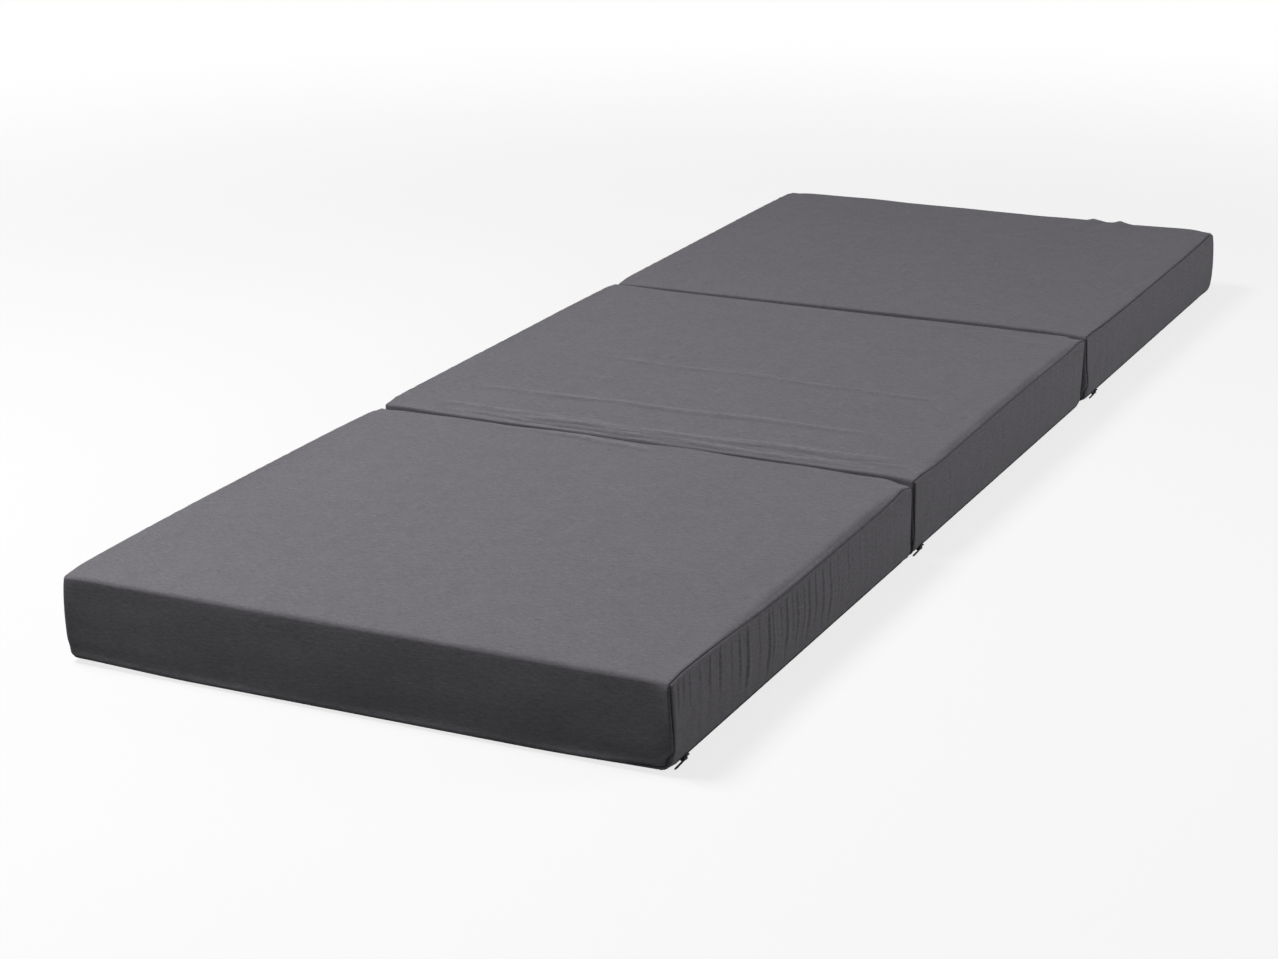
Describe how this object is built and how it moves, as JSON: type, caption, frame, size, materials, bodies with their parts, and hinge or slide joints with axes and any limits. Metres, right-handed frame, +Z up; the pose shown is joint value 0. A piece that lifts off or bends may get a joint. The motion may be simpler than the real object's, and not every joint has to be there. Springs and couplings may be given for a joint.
{
  "type": "folding mattress",
  "caption": "Foam guest mattress in three zipped fabric-covered sections that fold to a Z, opened flat.",
  "frame": {"origin": "on the floor under the middle of the opened mattress", "axes": "+Z up; +Y along the mattress from the near section, folded at its bottom edge, to the far section, folded at its top edge; +X towards the side with the zips"},
  "size_m": [0.7, 1.95, 0.1],
  "materials": {
    "cover_fabric": "matte",
    "foam": "matte",
    "zip_tape": "matte",
    "slider_metal": "satin"
  },
  "bodies": {
    "near_section": {"near_foam_core": "foam", "near_top_panel": "cover_fabric", "near_left_side_panel": "cover_fabric", "near_right_side_panel": "cover_fabric", "near_bottom_panel": "cover_fabric", "near_zip_stringer_upper": "zip_tape", "near_zip_stringer_lower": "zip_tape"},
    "near_slider": {"near_zip_slider": "slider_metal"},
    "near_pull": {"near_zip_pull": "slider_metal"},
    "middle_section": {"middle_foam_core": "foam", "middle_top_panel": "cover_fabric", "middle_left_side_panel": "cover_fabric", "middle_right_side_panel": "cover_fabric", "middle_bottom_panel": "cover_fabric", "middle_zip_stringer_upper": "zip_tape", "middle_zip_stringer_lower": "zip_tape", "upper_fold_strip": "cover_fabric", "lower_fold_strip": "cover_fabric"},
    "middle_slider": {"middle_zip_slider": "slider_metal"},
    "middle_pull": {"middle_zip_pull": "slider_metal"},
    "far_section": {"far_foam_core": "foam", "far_top_panel": "cover_fabric", "far_left_side_panel": "cover_fabric", "far_right_side_panel": "cover_fabric", "far_bottom_panel": "cover_fabric", "far_zip_stringer_upper": "zip_tape", "far_zip_stringer_lower": "zip_tape"},
    "far_slider": {"far_zip_slider": "slider_metal"},
    "far_pull": {"far_zip_pull": "slider_metal"}
  },
  "joints": [
    {"name": "far_fold", "type": "hinge", "parent": "far_section", "child": "middle_section", "pos_m": [0, 0.326, 0.1003], "axis": [-1, 0, 0], "range_deg": [0, 180], "deforming": ["upper_fold_strip"]},
    {"name": "near_fold", "type": "hinge", "parent": "middle_section", "child": "near_section", "pos_m": [0, -0.326, -0.0003], "axis": [1, 0, 0], "range_deg": [0, 180], "deforming": ["lower_fold_strip"]},
    {"name": "near_zip_slide", "type": "slide", "parent": "near_section", "child": "near_slider", "axis": [0, 1, 0], "range_m": [0, 0.55]},
    {"name": "near_pull_swing", "type": "hinge", "parent": "near_slider", "child": "near_pull", "pos_m": [0.34419, -0.933, 0.00281], "axis": [0.7071, 0, 0.7071], "range_deg": [-2, 178]},
    {"name": "middle_zip_slide", "type": "slide", "parent": "middle_section", "child": "middle_slider", "axis": [0, 1, 0], "range_m": [0, 0.55]},
    {"name": "middle_pull_swing", "type": "hinge", "parent": "middle_slider", "child": "middle_pull", "pos_m": [0.34419, -0.29, 0.00281], "axis": [0.7071, 0, 0.7071], "range_deg": [-2, 178]},
    {"name": "far_zip_slide", "type": "slide", "parent": "far_section", "child": "far_slider", "axis": [0, 1, 0], "range_m": [0, 0.55]},
    {"name": "far_pull_swing", "type": "hinge", "parent": "far_slider", "child": "far_pull", "pos_m": [0.34419, 0.386, 0.00281], "axis": [0.7071, 0, 0.7071], "range_deg": [-2, 178]}
  ]
}
